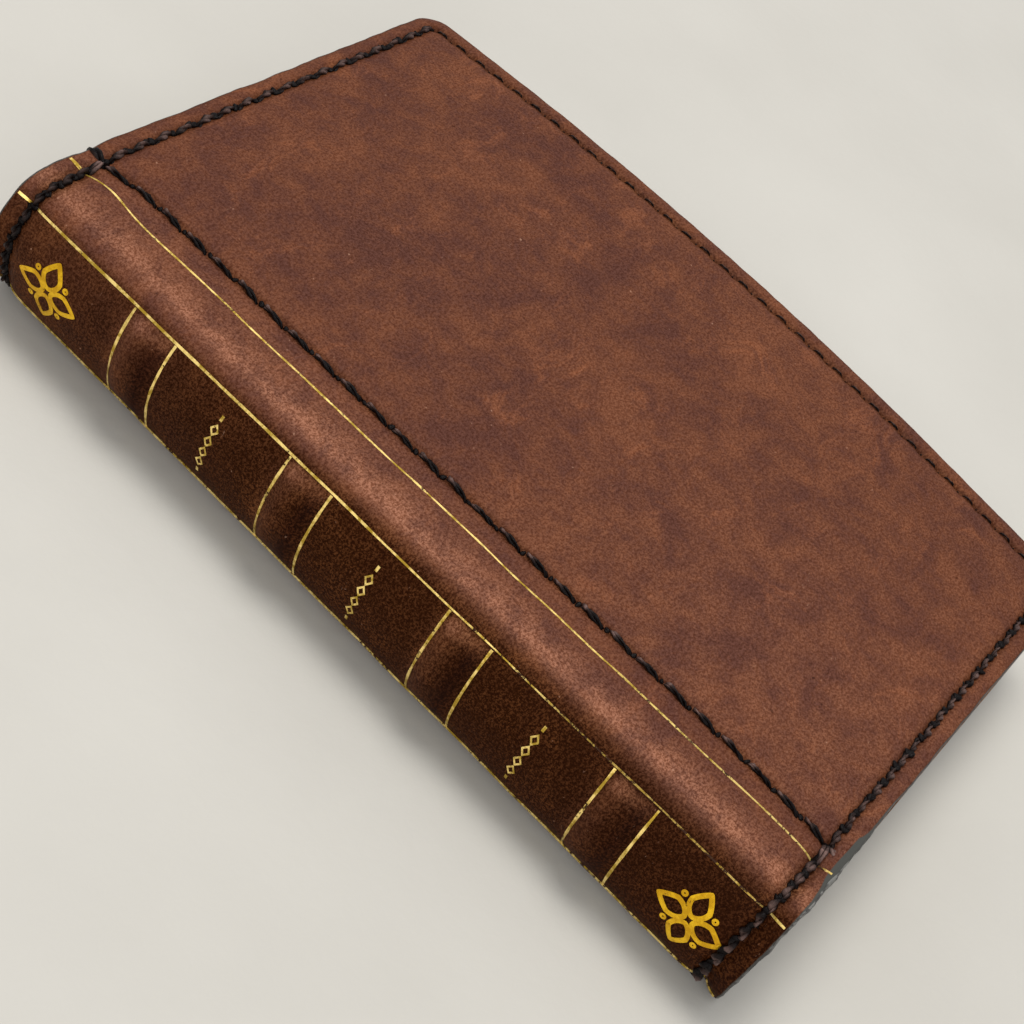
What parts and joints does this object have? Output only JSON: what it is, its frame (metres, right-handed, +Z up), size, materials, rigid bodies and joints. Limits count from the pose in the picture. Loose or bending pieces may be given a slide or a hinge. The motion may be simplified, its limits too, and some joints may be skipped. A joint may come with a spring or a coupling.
{
  "type": "leather journal",
  "caption": "Pocket journal: sewn page block in a hand-stitched leather cover with a rounded, raised-band spine and two hinged covers that open.",
  "frame": {"origin": "bottom centre of the bounding box of the closed journal lying on its back cover", "axes": "+X from the spine to the fore-edge, +Y from tail to head along the spine, +Z up through the thickness"},
  "size_m": [0.1072, 0.1524, 0.0245],
  "materials": {
    "cover_leather": "waxed pull-up, matt",
    "lining_leather": "matt",
    "band_leather": "raw",
    "black_thread": "waxed",
    "endpaper": "matt",
    "board": "matt",
    "pages": "matt",
    "mull": "matt",
    "gold_foil": "worn satin"
  },
  "bodies": {
    "book_block": {"spine_leather": "cover_leather", "spine_stiffener": "board", "spine_lining": "lining_leather", "gold_tooling": "gold_foil", "spine_head_stitching": "black_thread", "spine_tail_stitching": "black_thread", "page_block": "pages", "spine_mull": "mull", "raised_band_1": "band_leather", "raised_band_2": "band_leather", "raised_band_3": "band_leather", "raised_band_4": "band_leather"},
    "front_cover": {"front_cover_leather": "cover_leather", "front_board": "board", "front_lining": "lining_leather", "front_pastedown": "endpaper", "front_edge_stitching": "black_thread", "front_hinge_stitching": "black_thread"},
    "back_cover": {"back_cover_leather": "cover_leather", "back_board": "board", "back_lining": "lining_leather", "back_pastedown": "endpaper", "back_edge_stitching": "black_thread", "back_hinge_stitching": "black_thread"}
  },
  "joints": [
    {"name": "front_hinge", "type": "hinge", "parent": "book_block", "child": "front_cover", "pos_m": [-0.0382, 0, 0.0237], "axis": [0, -1, 0], "range_deg": [0, 160]},
    {"name": "back_hinge", "type": "hinge", "parent": "book_block", "child": "back_cover", "pos_m": [-0.0382, 0, 0.0005], "axis": [0, 1, 0], "range_deg": [0, 160]}
  ]
}
